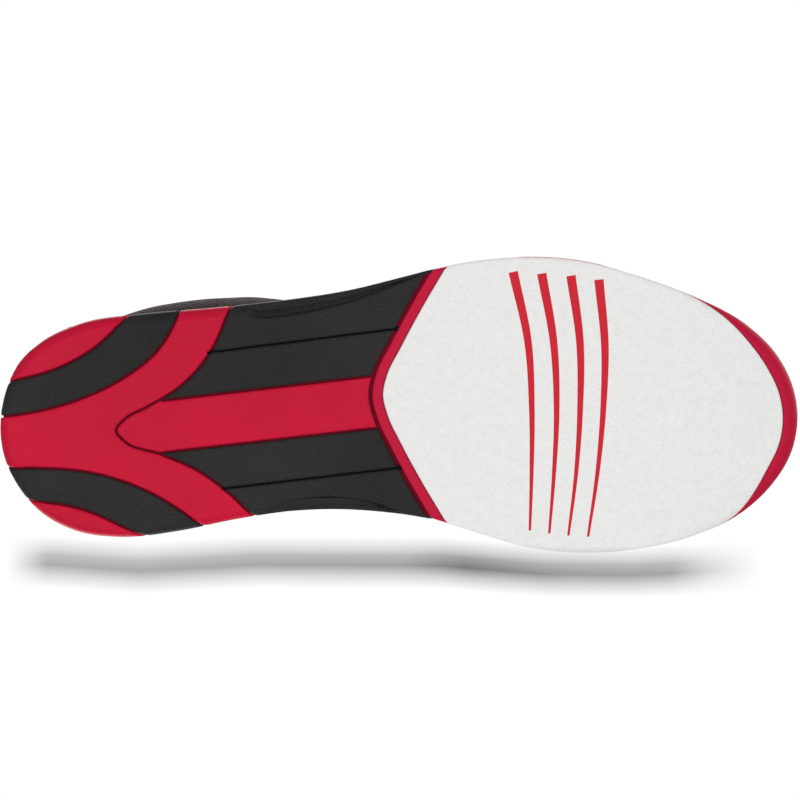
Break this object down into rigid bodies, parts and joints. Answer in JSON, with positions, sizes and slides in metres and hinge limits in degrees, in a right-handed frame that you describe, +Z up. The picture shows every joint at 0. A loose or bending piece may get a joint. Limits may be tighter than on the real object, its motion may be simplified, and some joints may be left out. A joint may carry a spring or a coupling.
{
  "type": "bowling shoe",
  "caption": "Right-foot lace-up bowling shoe with a microfibre slide pad, red and black rubber heel blocks, and a flexing forefoot.",
  "frame": {"origin": "on the ground line under the middle of the shoe's length and width", "axes": "+X from heel to toe, +Y to the medial (inner) side, +Z up"},
  "size_m": [0.3002, 0.1121, 0.1193],
  "materials": {
    "microfibre_white": "fine brushed microfibre",
    "print_red": "printed, matt",
    "rubber_red": "satin rubber",
    "rubber_black": "satin rubber",
    "midsole_foam": "matt moulded foam",
    "shank_plastic": "moulded",
    "board": "fibre board",
    "sock_fabric": "brushed fabric over foam",
    "mesh": "black mesh with red flecks",
    "overlay_black": "satin synthetic leather",
    "overlay_red": "satin synthetic leather",
    "collar_foam": "open foam",
    "lining": "knitted lining",
    "eyelet_metal": "satin black",
    "lace": "woven flat lace",
    "webbing": "woven webbing"
  },
  "bodies": {
    "rearfoot": {"slide_pad_rear": "microfibre_white", "pad_stripe_rear": "print_red", "heel_corner_lateral": "rubber_red", "heel_yoke": "rubber_red", "heel_corner_medial": "rubber_red", "shank_spine": "rubber_red", "rand_rear": "rubber_red", "heel_band_lateral": "rubber_black", "heel_band_medial": "rubber_black", "shank_plank_lateral": "rubber_black", "shank_plank_medial": "rubber_black", "outsole_web": "rubber_black", "midsole_rear": "midsole_foam", "shank_plate": "shank_plastic", "insole_board_rear": "board", "heel_counter": "board", "sockliner_rear": "sock_fabric", "heel_shell": "mesh", "quarter_lateral": "mesh", "quarter_medial": "mesh", "vamp_rear": "mesh", "vamp_flex": "mesh", "eyestay_lateral": "overlay_black", "eyestay_medial": "overlay_black", "facing_lateral": "overlay_black", "facing_medial": "overlay_black", "side_saddle_lateral": "overlay_black", "side_saddle_medial": "overlay_black", "side_bar_front_lateral": "overlay_red", "side_bar_front_medial": "overlay_red", "side_bar_rear_lateral": "overlay_red", "side_bar_rear_medial": "overlay_red", "heel_clip": "overlay_red", "heel_backstay": "overlay_red", "collar_foam": "collar_foam", "collar_lining": "lining", "tongue_strip": "lining", "eyelets_lateral": "eyelet_metal", "eyelets_medial": "eyelet_metal", "lace": "lace", "pull_tab": "webbing"},
    "forefoot": {"rand_front": "rubber_red", "slide_pad_front": "microfibre_white", "pad_stripes_front": "print_red", "midsole_front": "midsole_foam", "insole_board_front": "board", "sockliner_front": "sock_fabric", "vamp_front": "mesh", "toe_box_wall": "mesh", "toe_box_top": "mesh", "toe_puff": "board", "toe_guard": "overlay_black"},
    "tongue": {"tongue": "mesh"}
  },
  "joints": [
    {"name": "toe_flex", "type": "hinge", "parent": "rearfoot", "child": "forefoot", "pos_m": [0.051, 0, 0.0142], "axis": [0, -1, 0], "range_deg": [0, 30], "stiffness_Nm_per_rad": 3, "springref_deg": -2.86, "deforming": ["vamp_flex"]},
    {"name": "tongue_swing", "type": "hinge", "parent": "rearfoot", "child": "tongue", "pos_m": [0.0315, 0.0014, 0.0608], "axis": [0, -1, 0], "range_deg": [0, 10], "stiffness_Nm_per_rad": 0.08, "springref_deg": -22.92}
  ]
}
